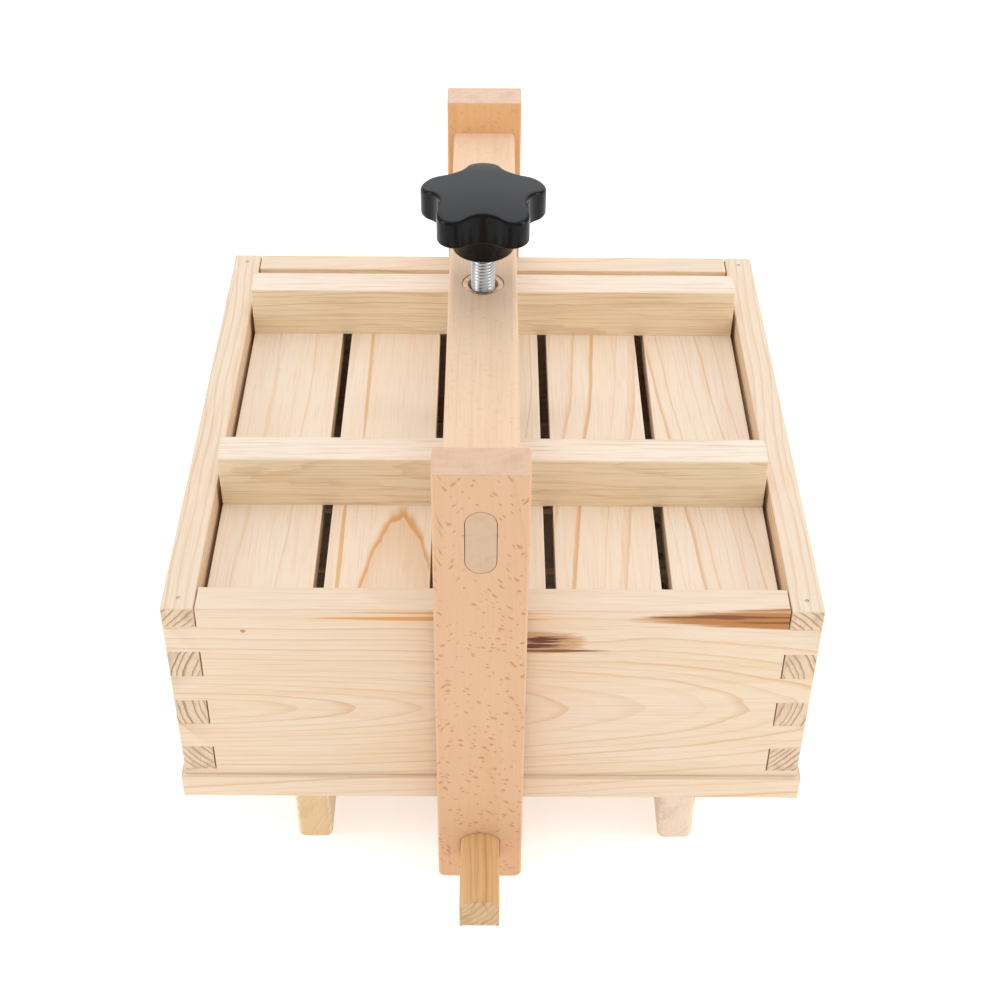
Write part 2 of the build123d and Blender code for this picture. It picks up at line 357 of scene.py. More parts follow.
@dataclass(frozen=True)
class Spot:
    """The point of a board that is being shaded, in millimetres from the board's middle."""

    graph: Graph
    cut: Cut
    local: Sequence[Wire]

    @property
    def order(self) -> tuple[int, ...]:
        """Return the axes, the one along the grain first."""
        along = self.cut.grain.value
        return (along, *(i for i in range(3) if i != along))

    def noise(self, pattern: Pattern) -> Wire:
        """Return a pattern's noise at the point."""
        numbers = [self.local[i] * scale for i, scale in zip(self.order, pattern.scale)]
        if pattern.shift is not None:
            numbers[pattern.shift] = numbers[pattern.shift] + self.cut.seed
        return self.graph.noise(self.graph.point(*numbers), pattern.detail, pattern.roughness)

    def share(self, pattern: Pattern) -> Wire:
        """Return how much of a pattern shows, from 0 to its strength."""
        return self.graph.smooth(self.noise(pattern), *pattern.band) * pattern.strength

    def nearness(self, mark: Mark) -> Wire:
        """Return how strongly a knot pushes the rings around it aside, from 0 to 1."""
        total: Number = 0.0
        for i in self.order:
            offset = (self.local[i] - mark.place[i]) / (mark.reach[i] * PUSH_REACH)
            total = total + offset * offset
        return 1 - self.graph.smooth(total, 0.0, PUSH_END)


@dataclass(frozen=True)
class WoodFinish:
    """A species of timber, sanded and left bare."""

    early: Colour
    late: Colour
    warm: Colour
    end_early: Colour
    end_late: Colour
    edge: Colour
    # The top colour and the two numbers after it are painted light: up-facing faces turn paler, with fainter
    # rings, as if lit from above.
    top: Colour
    top_light_share: float = 0.5
    top_light_calm: float = 0.0
    contrast: float = 0.75
    end_contrast: float = 1.0
    cloud: float = 0.30
    fibre: float = 0.30
    fleck: float = 0.0
    fleck_colour: Colour = (0.56, 0.24, 0.125)
    edge_share: float = 0.5
    roughness: float = 0.58
    fibre_roughness: float = 0.16
    end_roughness: float = 0.14
    late_polish: float = 0.08
    arris_polish: float = 0.10
    specular: float = 0.30
    bump: float = 0.35
    bump_mm: float = 0.25
    fibre_height: float = 0.6
    late_height: float = 0.4
    fleck_depth: float = 0.5
    arris_depth: float = 0.4

    def material(self, name: str, box: tuple[Vector, Vector], cut: Cut) -> Material:
        """Make the material of one board.

        Args:
            name: the board's name.
            box: the board's lowest and highest corners in metres.
            cut: how the board was sawn.

        Returns:
            The board's own material.
        """
        graph = Graph(f"{name}_wood")
        middle = (box[0] + box[1]) / (2 * MM)
        half = (box[1] - box[0]) / (2 * MM)
        spot = Spot(graph, cut, [value - middle[i] for i, value in enumerate(graph.place_mm())])
        late = self._late_wood(spot)
        fibres = spot.noise(FIBRES)
        arris = self._arris(spot, half)
        ends = graph.smooth(abs(graph.facing()[cut.grain.value]), *END_FACING)
        colour = self._side_colour(spot, late, fibres)
        height = fibres * self.fibre_height + late * self.late_height
        if self.fleck > 0:
            flecks = self._flecks(spot)
            colour = graph.mix(flecks * self.fleck, colour, self.fleck_colour)
            height = height - flecks * self.fleck_depth
        colour = graph.mix(ends, colour, self._end_colour(spot, late))
        colour = self._marked(spot, colour, fibres)
        colour = graph.mix(arris * self.edge_share, colour, self.edge)
        rough = self.roughness + fibres * self.fibre_roughness - late * self.late_polish
        rough = rough + ends * self.end_roughness - arris * self.arris_polish
        sockets = {"Base Color": colour, "Roughness": rough, "Specular IOR Level": self.specular}
        graph.fill(graph.shader, sockets)
        graph.bump(height - arris * self.arris_depth, self.bump, self.bump_mm)
        return graph.material

    def _side_colour(self, spot: Spot, late: Wire, fibres: Wire) -> Wire:
        """Return the colour of a board's sides: streaks, clouds, painted top light, hairs, rings and fibres."""
        graph = spot.graph
        up = graph.smooth(graph.facing()[2], *UP_FACING)
        colour = graph.mix(spot.share(STREAKS), self.early, self.warm)
        colour = graph.mix(spot.share(CLOUDS) * (self.cloud + spot.cut.tone), colour, self.warm)
        # Painted light: up-facing faces are mixed towards the paler top colour, as if lit from above.
        colour = graph.mix(up * self.top_light_share, colour, self.top)
        colour = graph.mix(spot.share(HAIRS) * self.fibre, colour, self.late)
        # The painted top light also fades the late wood on up-facing faces.
        late_share = late * (self.contrast * spot.cut.contrast) * (1 - up * self.top_light_calm)
        colour = graph.mix(late_share, colour, self.late)
        return graph.mix(graph.smooth(fibres, *FIBRES.band) * self.fibre, colour, self.late)

    def _end_colour(self, spot: Spot, late: Wire) -> Wire:
        """Return the colour of a board's end grain: stains, rings, pores and rays."""
        graph = spot.graph
        colour = graph.mix(spot.share(STAIN), self.end_early, self.end_late)
        colour = graph.mix(late * min(1.0, self.end_contrast * spot.cut.contrast), colour, self.end_late)
        return graph.mix(spot.share(PORES) + spot.share(RAYS), colour, self.end_late)

    @staticmethod
    def _late_wood(spot: Spot) -> Wire:
        """Return how much of a point is dark late wood, from 0 to 1."""
        graph, cut = spot.graph, spot.cut
        along, across, deep = (spot.local[i] for i in spot.order)
        first = across - cut.pith[0] - along * cut.tilt[0] + (spot.noise(DRIFT) - 0.5) * cut.sway
        second = deep - cut.pith[1] - along * cut.tilt[1] + (spot.noise(CROSS_DRIFT) - 0.5) * cut.sway
        radius = (first * first + second * second) ** 0.5 + (spot.noise(RIPPLE) - 0.5) * cut.ripple
        for mark in cut.marks:
            if mark.push:
                radius = radius + spot.nearness(mark) * mark.push
        unevenness = graph.noise(graph.point(radius * UNEVEN_SCALE + cut.seed, 0.0, 0.0))
        rings = radius / cut.ring + unevenness * cut.uneven + cut.phase
        share = graph.math("FRACT", rings)
        late = graph.smooth(share, min(cut.late_from - RISE, LATEST_RISE), RING_FADE[0]) ** LATE_POWER
        if cut.glow > 0:
            glow = graph.smooth(share, GLOW_FROM, RING_FADE[0]) ** LATE_POWER * cut.glow
            late = graph.least(late + glow, 1.0)
        late = late * (1 - graph.smooth(share, *RING_FADE))
        chance = graph.chance(graph.math("FLOOR", rings) + cut.seed) ** CHANCE_POWER
        return late * (cut.steady + (1 - cut.steady) * chance)

    @staticmethod
    def _flecks(spot: Spot) -> Wire:
        """Return the short ray flecks of beech, from 0 to 1."""
        graph = spot.graph
        along, across, deep = (spot.local[i] for i in spot.order)
        bowed = along + across * (spot.noise(FLECK_SLANT) - FLECK_LEVEL) * FLECK_BOW
        fray = graph.cloud((bowed, across, deep), (1.4, 0.9, 0.9), 1.0) * 0.2
        total: Number = 0.0
        for size, share, shift in FLECK_KINDS:
            length, width = FLECK_LENGTH * size, FLECK_WIDTH * size
            point = graph.point(bowed / length + spot.cut.seed + shift, across / width, deep / width)
            inputs = {"Vector": point, "Scale": 1.0, "Randomness": 1.0}
            cells = graph.node("ShaderNodeTexVoronoi", None, inputs)
            fleck = 1 - graph.smooth(graph.out(cells, "Distance") + fray, *FLECK_EDGE)
            chosen = graph.smooth(graph.split(graph.out(cells, "Color"))[0], share, share + FLECK_CHANCE)
            total = total + fleck * chosen
        return graph.least(total, 1.0) * spot.share(FLECK_PATCHES)

    @staticmethod
    def _marked(spot: Spot, colour: Wire, fibres: Wire) -> Wire:
        """Return a board's colour with its knots and streaks laid over it."""
        graph = spot.graph
        for mark in spot.cut.marks:
            offsets = [(spot.local[i] - mark.place[i]) / mark.reach[i] for i in range(3)]
            first = abs(offsets[0]) if mark.pointed else offsets[0] * offsets[0]
            total = first + offsets[1] * offsets[1] + offsets[2] * offsets[2] + (fibres - 0.5) * mark.ragged
            colour = graph.mix((1 - graph.smooth(total, *MARK_EDGE)) * mark.strength, colour, mark.colour)
        return colour

    @staticmethod
    def _arris(spot: Spot, half: Vector) -> Wire:
        """Return how close a point is to one of its board's worn arrises, from 0 to 1."""
        graph = spot.graph
        gaps = [half[i] - abs(spot.local[i]) for i in range(3)]
        low, high = graph.least(*gaps[:2]), graph.most(*gaps[:2])
        nearest_edge = graph.most(low, graph.least(high, gaps[2]))
        x, y, z = (value * WEAR_SCALE for value in spot.local)
        wear = graph.noise(graph.point(x + spot.cut.seed, y, z), 3.0, 0.6)
        return 1 - graph.smooth(nearest_edge, ARRIS_BAND[0], ARRIS_BAND[1] + wear * ARRIS_WEAR)


@dataclass(frozen=True)
class MetalFinish:
    """A plated or plain metal, with faint stains and turning marks."""

    base: Colour
    stain: Colour
    roughness: float
    stain_share: float = 0.4
    stain_scale: float = 0.35
    grit_scale: float = 3.0
    mark_mm: float = 0.35

    def material(self, name: str) -> Material:
        """Return a new material of this metal with the name given."""
        graph = Graph(name)
        place = graph.place_mm()
        stains = graph.cloud(place, self.stain_scale, 4.0, 0.65)
        marks = graph.cloud(place, (0.05, 0.05, 1 / self.mark_mm))
        grit = graph.cloud(place, self.grit_scale, 2.0, 0.6)
        colour = graph.mix(graph.smooth(stains, 0.42, 0.72) * self.stain_share, self.base, self.stain)
        rough = self.roughness + stains * 0.18 + grit * 0.06
        graph.fill(graph.shader, {"Base Color": colour, "Metallic": 1.0, "Roughness": rough})
        graph.bump(marks * 0.5 + grit * 0.5, 0.25, 0.05)
        return graph.material


@dataclass(frozen=True)
class PlasticFinish:
    """Black moulded plastic: a satin top with painted grey sheen, polished sides and a few hairline scuffs."""

    base: Colour = (0.003, 0.003, 0.0035)
    # The top colour is painted sheen: up-facing faces are greyed as if catching the light; only their satin
    # roughness is the plastic's own.
    top: Colour = (0.041, 0.042, 0.046)
    scuff: Colour = (0.065, 0.065, 0.07)
    side_roughness: float = 0.13
    top_roughness: float = 0.33
    specular: float = 0.15

    def material(self, name: str) -> Material:
        """Return a new material of this plastic with the name given."""
        graph = Graph(name)
        x, y, z = place = graph.place_mm()
        up = graph.smooth(graph.facing()[2], 0.55, 0.95)
        orange_peel = graph.cloud(place, 0.9)
        satin = graph.cloud(place, 5.0, 2.0, 0.6)
        hairs = graph.noise(graph.point(x * 0.25 + y * 0.1, y * 4.5 - x * 1.6, z * 0.4), 3.0, 0.7)
        scuffs = graph.smooth(hairs, 0.66, 0.80)
        # Painted sheen: up-facing faces take the grey top colour, with real hairline scuffs mixed over it.
        colour = graph.mix(up, self.base, graph.mix(scuffs * 0.6, self.top, self.scuff))
        rough = self.side_roughness + up * (self.top_roughness - self.side_roughness) + scuffs * 0.12
        rough = rough + orange_peel * 0.05
        sockets = {"Base Color": colour, "Roughness": rough, "Specular IOR Level": self.specular}
        graph.fill(graph.shader, sockets)
        graph.bump(orange_peel * 0.4 + satin * up * 0.6, 0.12, 0.05)
        return graph.material


PINE = WoodFinish(
    early=(0.84, 0.69, 0.535),
    late=(0.66, 0.38, 0.165),
    warm=(0.82, 0.61, 0.40),
    end_early=(0.80, 0.62, 0.44),
    end_late=(0.29, 0.135, 0.055),
    edge=(0.80, 0.60, 0.40),
    top=(0.88, 0.765, 0.64),
    top_light_calm=0.45,
)
LID_PINE = WoodFinish(
    early=(0.88, 0.765, 0.63),
    late=(0.70, 0.38, 0.14),
    warm=(0.85, 0.67, 0.48),
    end_early=(0.84, 0.68, 0.52),
    end_late=(0.50, 0.31, 0.17),
    edge=(0.92, 0.84, 0.74),
    top=(0.88, 0.77, 0.64),
    top_light_share=0.35,
    contrast=0.85,
    end_contrast=0.7,
)
BATTEN_PINE = WoodFinish(
    early=(0.90, 0.76, 0.565),
    late=(0.64, 0.42, 0.20),
    warm=(0.87, 0.70, 0.47),
    end_early=(0.80, 0.60, 0.40),
    end_late=(0.48, 0.29, 0.13),
    edge=(0.86, 0.70, 0.52),
    top=(0.92, 0.81, 0.71),
    top_light_share=0.9,
    top_light_calm=0.8,
    fibre=0.65,
)
FOOT_PINE = replace(
    BATTEN_PINE, end_early=(0.80, 0.58, 0.34), end_late=(0.62, 0.40, 0.18), end_contrast=0.35
)
PALE_FOOT_PINE = replace(
    LID_PINE, end_early=(0.86, 0.70, 0.55), end_late=(0.60, 0.40, 0.27), end_contrast=0.25
)
BEECH = WoodFinish(
    early=(0.74, 0.47, 0.287),
    late=(0.66, 0.375, 0.195),
    warm=(0.72, 0.437, 0.253),
    end_early=(0.74, 0.515, 0.365),
    end_late=(0.56, 0.35, 0.23),
    edge=(0.74, 0.46, 0.27),
    top=(0.86, 0.66, 0.48),
    contrast=0.35,
    end_contrast=0.3,
    fleck=0.8,
    roughness=0.52,
    bump=0.22,
)
PALE_BEECH = replace(
    BEECH, early=(0.82, 0.58, 0.39), warm=(0.80, 0.55, 0.36), end_early=(0.66, 0.465, 0.31), fleck=0.14
)
RED_BEECH = replace(
    BEECH,
    early=(0.79, 0.47, 0.235),
    warm=(0.77, 0.43, 0.20),
    late=(0.66, 0.33, 0.13),
    end_early=(0.78, 0.575, 0.44),
    fleck=0.35,
)
BAR_WOOD = WoodFinish(
    early=(0.74, 0.48, 0.25),
    late=(0.50, 0.25, 0.075),
    warm=(0.68, 0.40, 0.16),
    end_early=(0.66, 0.46, 0.27),
    end_late=(0.42, 0.24, 0.10),
    edge=(0.60, 0.36, 0.16),
    top=(0.74, 0.48, 0.25),
    top_light_share=0.2,
    contrast=0.8,
    end_contrast=0.8,
    fibre=0.4,
)
ZINC = MetalFinish(base=(0.75, 0.76, 0.76), stain=(0.62, 0.63, 0.64), roughness=0.20)
PLAIN_STEEL = MetalFinish(base=(0.50, 0.49, 0.47), stain=(0.33, 0.29, 0.25), roughness=0.34)
TARNISHED_BRASS = MetalFinish(
    base=(0.58, 0.39, 0.26), stain=(0.24, 0.12, 0.09), roughness=0.28, stain_share=0.6
)
BLACK_PLASTIC = PlasticFinish()


# ---------------------------------------------------------------------------------------------- mesh making


def link_new(name: str, data: ID) -> Object:
    """Return a new object in the scene."""
    made = bpy.data.objects.new(name, data)
    bpy.context.scene.collection.objects.link(made)
    return made


def new_piece(mesh: Mesh, material: Material, smooth_angle: float = 35.0) -> Object:
    """Put a mesh in the scene as a piece of the same name.

    Args:
        mesh: the piece's mesh, in metres in the press's frame.
        material: its finish.
        smooth_angle: edges sharper than this, in degrees, stay sharp.

    Returns:
        The new object.
    """
    mesh.materials.append(material)
    mesh.polygons.foreach_set("use_smooth", [True] * len(mesh.polygons))
    mesh.set_sharp_from_angle(angle=math.radians(smooth_angle))
    return link_new(mesh.name, mesh)


def settled(work: bmesh.types.BMesh, mesh: Mesh) -> Mesh:
    """Write a working mesh into a mesh, free it and return the mesh."""
    work.to_mesh(mesh)
    work.free()
    return mesh


def merged(name: str, parts: Iterable[Mesh]) -> Mesh:
    """Return a new mesh that takes in several others, which are removed."""
    work = bmesh.new()
    for part in parts:
        work.from_mesh(part)
        bpy.data.meshes.remove(part)
    return settled(work, bpy.data.meshes.new(name))


def skin(name: str, rows: Sequence[Sequence[Vector]], closed: bool = False) -> Mesh:
    """Join rings of points, each as long as the next, into a skin.

    Args:
        name: the mesh's name.
        rows: the rings, in millimetres, from one end of the skin to the other.
        closed: True joins the last ring back to the first, and False caps both ends.

    Returns:
        A closed mesh in metres.
    """
    count = len(rows[0])
    vertices = [point * MM for row in rows for point in row]
    last = len(rows) if closed else len(rows) - 1
    faces: list[tuple[int, ...]] = []
    for i in range(last):
        here, there = i * count, (i + 1) % len(rows) * count
        for j in range(count):
            k = (j + 1) % count
            faces.append((here + j, here + k, there + k, there + j))
    if not closed:
        faces.append(tuple(reversed(range(count))))
        faces.append(tuple(range((len(rows) - 1) * count, len(rows) * count)))
    mesh = bpy.data.meshes.new(name)
    mesh.from_pydata(vertices, [], faces)
    mesh.validate()
    work = bmesh.new()
    work.from_mesh(mesh)
    bmesh.ops.recalc_face_normals(work, faces=work.faces)
    return settled(work, mesh)


def ring_of(radius: Measure, height: Measure, centre: Vector, count: int) -> list[Vector]:
    """Return a ring of points.

    Args:
        radius: the ring's radius in millimetres, or a function of the angle that gives it.
        height: its height in millimetres, or a function of the radius that gives it.
        centre: a point on its axis, in millimetres.
        count: how many points.

    Returns:
        The ring's points, anticlockwise from +X.
    """
    points = []
    for j in range(count):
        angle = 2 * math.pi * j / count
        reach = radius(angle) if callable(radius) else radius
        level = height(reach) if callable(height) else height
        points.append(Vector((centre.x + reach * math.cos(angle), centre.y + reach * math.sin(angle), level)))
    return points


def rings_of(profile: Iterable[Point], centre: Vector, count: int) -> list[list[Vector]]:
    """Return a level ring of points for each (radius, height) of a profile in millimetres."""
    return [ring_of(radius, height, centre, count) for radius, height in profile]


def arc_profile(centre: Point, radius: float, start: float, stop: float, steps: int) -> list[Point]:
    """Return points (radius, height) along a rounded edge.

    Args:
        centre: the arc's centre.
        radius: its radius.
        start: its first angle in degrees, from outward towards up.
        stop: its last angle.
        steps: how many spans it has.

    Returns:
        The arc's points from start to stop.
    """
    angles = [math.radians(start + (stop - start) * i / steps) for i in range(steps + 1)]
    return [(centre[0] + radius * math.cos(a), centre[1] + radius * math.sin(a)) for a in angles]


@dataclass(frozen=True)
class Thread:
    """A screw thread in millimetres, right-handed."""

    crest: float
    root: float
    pitch: float
    rows_per_turn: int = 8
    columns: int = 48

    def radius(self, height: float, angle: float) -> float:
        """Return the thread's radius at a height and an angle about its axis."""
        phase = (height / self.pitch - angle / (2 * math.pi)) % 1.0
        slope = min(1.0, max(0.0, (abs(phase - 0.5) - 0.07) / 0.36))
        return self.crest + (self.root - self.crest) * slope

    def rows(
        self, low: float, high: float, centre: Vector, cap: Callable[[float], float]
    ) -> list[list[Vector]]:
        """Return the thread's rings between two heights.

        Args:
            low: where the thread starts.
            high: where it ends.
            centre: a point on its axis.
            cap: gives the largest radius at a height, for chamfered ends.

        Returns:
            One ring for each step of height.
        """
        steps = max(1, round((high - low) / self.pitch * self.rows_per_turn))
        heights = [low + (high - low) * i / steps for i in range(steps + 1)]
        return [
            ring_of(lambda angle, h=height: min(cap(h), self.radius(h, angle)), height, centre, self.columns)
            for height in heights
        ]


def box_mm(node: str) -> tuple[Vector, Vector]:
    """Return a node's lowest and highest corners in millimetres."""
    low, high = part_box(node)
    return low / MM, high / MM


def finish_piece(piece: Object, body: str, slot: str, *nodes: str) -> None:
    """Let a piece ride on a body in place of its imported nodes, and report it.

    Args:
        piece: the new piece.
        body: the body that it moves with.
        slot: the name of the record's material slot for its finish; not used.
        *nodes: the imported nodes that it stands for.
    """
    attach(piece, body)
    if nodes:
        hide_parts(*nodes)
    log.info("%s: %d faces, on %s", piece.name, len(piece.data.polygons), body)


def mark_arrises(mesh: Mesh, corner: float = 0.0, sharpest: float = 40.0) -> None:
    """Give bevel weight to a board's outer arrises, and keep its other sharp edges sharp.

    Args:
        mesh: the board's mesh, whose faces may each have their own corners.
        corner: radius of the board's own rounded corners in millimetres.
        sharpest: faces that meet at a smaller angle, in degrees, count as one smooth surface.
    """
    microns = 1e6
    around: dict[frozenset[tuple[int, ...]], list[Vector]] = {}
    spots = [tuple(round(value * microns) for value in vertex.co) for vertex in mesh.vertices]
    limits = [(min(column), max(column)) for column in zip(*spots)]
    for face in mesh.polygons:
        for first, second in face.edge_keys:
            around.setdefault(frozenset((spots[first], spots[second])), []).append(face.normal)
    weights = mesh.attributes.new("bevel_weight_edge", "FLOAT", "EDGE")
    for edge in mesh.edges:
        first, second = ends = [spots[i] for i in edge.vertices]
        normals = around.get(frozenset(ends), [])
        sharp = any(normals[0].angle(other, 0.0) > math.radians(sharpest) for other in normals[1:])
        shared = sum(first[i] == second[i] and first[i] in limits[i] for i in range(3))
        depth = max(min(abs(end[i] - limit) for limit in limits[i]) for end in ends for i in range(3))
        outer = shared >= 2 or (shared == 1 and depth <= corner * MM * microns)
        weights.data[edge.index].value = 1.0 if sharp and outer else 0.0
        edge.use_edge_sharp = sharp and not outer


@dataclass(frozen=True)
class Board:
    """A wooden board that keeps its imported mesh, with eased arrises and its own timber."""

    node: str
    finish: WoodFinish
    cut: Cut
    arris: float = 0.6
    corner: float = 0.0

    def dress(self) -> None:
        """Round the board's arrises and give it its material."""
        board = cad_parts[self.node]
        mark_arrises(board.data, self.corner)
        weld = board.modifiers.new("weld", "WELD")
        weld.merge_threshold = 1e-6
        if self.corner > 0:
            flat = board.modifiers.new("whole_faces", "DECIMATE")
            flat.decimate_type = "DISSOLVE"
            flat.angle_limit = math.radians(1.0)
        ease = board.modifiers.new("eased_arrises", "BEVEL")
        ease.width = self.arris * MM
        ease.segments = 3
        ease.limit_method = "WEIGHT"
        ease.use_clamp_overlap = False
        even = board.modifiers.new("even_shading", "WEIGHTED_NORMAL")
        even.keep_sharp = True
        board.data.polygons.foreach_set("use_smooth", [True] * len(board.data.polygons))
        material = self.finish.material(self.node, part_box(self.node), self.cut)
        board.data.materials.clear()
        board.data.materials.append(material)
        board.data.polygons.foreach_set("material_index", [0] * len(board.data.polygons))
        log.info("%s: %s grain", self.node, self.cut.grain.name)


# ------------------------------------------------------------------------------------------- sub-assemblies


@dataclass
class WoodScrews:
    """Countersunk wood screws with a cross recess, in millimetres."""

    head_radius: float = 3.3
    head_height: float = 1.8
    shank_radius: float = 1.15
    crest_radius: float = 1.65
    pitch: float = 1.6
    length: float = 28.0
    recess_width: float = 0.95
    recess_reach: float = 1.9
    recess_depth: float = 1.2
    neck: float = 5.0
    sunk: float = 0.1

    def blank(self) -> Mesh:
        """Make one screw with its head up and the head's top at the origin."""
        origin = Vector((0, 0, 0))
        thread = Thread(self.crest_radius, self.shank_radius, self.pitch, rows_per_turn=5, columns=12)

        def taper(height: float) -> float:
            """Return the largest radius at a height, down to the point."""
            return max(0.12, min(self.crest_radius, (height + self.length) * 0.45))

        neck_end = -self.head_height - self.neck
        rows = thread.rows(-self.length, neck_end, origin, taper)
        profile = [(self.shank_radius + 0.35, neck_end + 0.2), (self.shank_radius + 0.45, -self.head_height)]
        profile += [(self.head_radius, -0.25), (self.head_radius, -0.08), (self.head_radius - 0.12, 0.0)]
        rows += rings_of(profile, origin, thread.columns)
        blank = link_new("screw_blank", skin("screw_blank", rows))
        cutter = link_new("screw_recess", self._recess())
        cross = blank.modifiers.new("recess", "BOOLEAN")
        cross.operation = "DIFFERENCE"
        cross.solver = "EXACT"
        cross.use_self = True
        cross.object = cutter
        mesh = bpy.data.meshes.new_from_object(blank.evaluated_get(bpy.context.evaluated_depsgraph_get()))
        for made in (blank, cutter):
            bpy.data.objects.remove(made)
        return mesh

    def _recess(self) -> Mesh:
        """Make the tapered cross that is cut from the head."""
        work = bmesh.new()
        for turn in (0.0, math.pi / 2):
            made = bmesh.ops.create_cube(work, size=1.0)
            for vertex in made["verts"]:
                low = vertex.co.z < 0
                reach = self.recess_reach * (0.55 if low else 1.0)
                width = self.recess_width * (0.6 if low else 1.0)
                height = -self.recess_depth if low else 0.5
                point = Vector((vertex.co.x * 2 * reach, vertex.co.y * width, height))
                vertex.co = (Matrix.Rotation(turn, 3, "Z") @ point) * MM
        return settled(work, bpy.data.meshes.new("screw_recess"))

    @staticmethod
    def place(x: float, y: float, z: float, turn: float) -> Matrix:
        """Return where a screw goes, in metres, from millimetres and a turn in radians."""
        return Matrix.Translation(Vector((x, y, z)) * MM) @ Matrix.Rotation(turn, 4, "Z")

    def group(self, name: str, places: Iterable[Matrix], material: Material) -> Object:
        """Copy the screw to several places as one piece.

        Args:
            name: the piece's name.
            places: where each screw's head goes, in metres.
            material: the screws' finish.

        Returns:
            The piece.
        """
        blank = self.blank()
        copies = []
        for place in places:
            copies.append(blank.copy())
            copies[-1].transform(place)
        return new_piece(merged(name, copies), material)


@dataclass
class Base:
    """Six slats screwed down to two feet."""

    slats: int = 6
    foot_inset: float = 8.75
    screw_offset: float = 13.0
    turns: tuple[float, float] = (0.7, 0.4)
    screws: WoodScrews = field(default_factory=WoodScrews)

    def boards(self) -> list[Board]:
        """Return the base's boards."""
        boards = [
            Board("foot_left", FOOT_PINE, Cut(Grain.Y, (60, -30), (0.02, 0), 31, ring=3.2)),
            Board("foot_right", PALE_FOOT_PINE, Cut(Grain.Y, (-22, 16), (0.01, 0), 47, ring=3.6, tone=-0.1)),
        ]
        for i in range(self.slats):
            side = -1 if i % 2 else 1
            cut = Cut(Grain.X, (-6.0 + 4 * i, side * (24 + 5 * i)), (0.03 * side, 0.05), 60 + 7 * i, ring=4.2)
            boards.append(Board(f"base_slat_{i + 1}", PINE, cut))
        return boards

    def build(self, steel: Material) -> None:
        """Dress the boards and make the screws."""
        for board in self.boards():
            board.dress()
        places = []
        top = box_mm("base_slat_1")[1].z - self.screws.sunk
        for foot in ("foot_left", "foot_right"):
            x = box_mm(foot)[0].x + self.foot_inset
            for i in range(self.slats):
                low, high = box_mm(f"base_slat_{i + 1}")
                for side in (-1, 1):
                    y = (low.y + high.y) / 2 + side * self.screw_offset
                    places.append(self.screws.place(x, y, top, self.turns[0] * i + self.turns[1] * side))
        piece = self.screws.group("base_screws_cut", places, steel)
        finish_piece(piece, "base", "screw_steel", "base_screws")


@dataclass
class Mould:
    """Four finger-jointed walls with a brad down each corner."""

    brad_radius: float = 0.9
    brad_length: float = 24.0
    shank_radius: float = 0.7
    outer_face: float = -7.5

    def boards(self) -> list[Board]:
        """Return the mould's walls."""
        amber, umber, bark = (0.70, 0.34, 0.10), (0.22, 0.075, 0.03), (0.13, 0.04, 0.02)
        face = self.outer_face
        marks = (
            Mark((136, face, 50.6), (78, 4.0, 7.0), (0.47, 0.19, 0.045), 0.96, pointed=True),
            Mark((108, face, 52.2), (34, 3.2, 1.5), umber, 0.9, pointed=True, ragged=3.2),
            Mark((133, face, 48.8), (30, 3.2, 1.0), umber, 0.8, pointed=True, ragged=2.6),
            Mark((20, face, 35.8), (24, 5.0, 8.0), (0.56, 0.29, 0.12), 0.75, ragged=2.0, push=4.0),
            Mark((22, face, 37.4), (13, 5.0, 2.6), bark, 0.95, pointed=True, ragged=4.5),
            Mark((18, face, 33.4), (15, 5.0, 1.9), bark, 0.95, pointed=True, ragged=4.0),
            Mark((30, face, 30.4), (26, 4.0, 1.1), umber, 0.9, pointed=True, ragged=1.4),
            Mark((-26, face, 50.2), (64, 3.0, 1.5), amber, 0.95, pointed=True, ragged=0.6),
            Mark((-20, face, 53.8), (56, 2.0, 1.0), amber, 0.7, pointed=True, ragged=0.6),
            Mark((-113.6, face, 42), (1.4, 3.0, 1.1), (0.55, 0.25, 0.08), 0.9),
        )
        front = Cut(
            Grain.X, (11.5, -8), (0.127, 0.01), 3, ring=3.3, sway=4, ripple=1.2, uneven=1.2, contrast=0.85,
            steady=0.12, marks=marks,
        )
        side = Cut(Grain.Y, (54, 3), (0.01, 0.02), 17, ring=3.1, contrast=1.1, late_from=0.6, steady=0.6)
        return [
            Board("wall_front", PINE, front),
            Board("wall_rear", PINE, Cut(Grain.X, (26, 8), (0.07, -0.02), 11)),
            Board("wall_left", PINE, side),
            Board("wall_right", PINE, replace(side, pith=(-50, 4), tilt=(-0.01, 0.03), seed=23, ring=3.0)),
        ]

    def build(self, steel: Material) -> None:
        """Dress the walls and make the brads."""
        for board in self.boards():
            board.dress()
        low, high = box_mm("corner_brads")
        shank, head = self.shank_radius, self.brad_radius
        profile = [(0.05, high.z - self.brad_length), (shank, high.z - self.brad_length + 1.6)]
        profile += [(shank, high.z - 0.7), (head, high.z - 0.45), (head, high.z - 0.15)]
        profile += [(0.6, high.z - 0.02), (0.1, high.z)]
        sides = [(low[i] + head, high[i] - head) for i in range(2)]
        brads = [skin("brad", rings_of(profile, Vector((x, y, 0)), 20)) for x in sides[0] for y in sides[1]]
        mesh = merged("corner_brads_turned", brads)
        finish_piece(new_piece(mesh, steel), "mould", "screw_steel", "corner_brads")


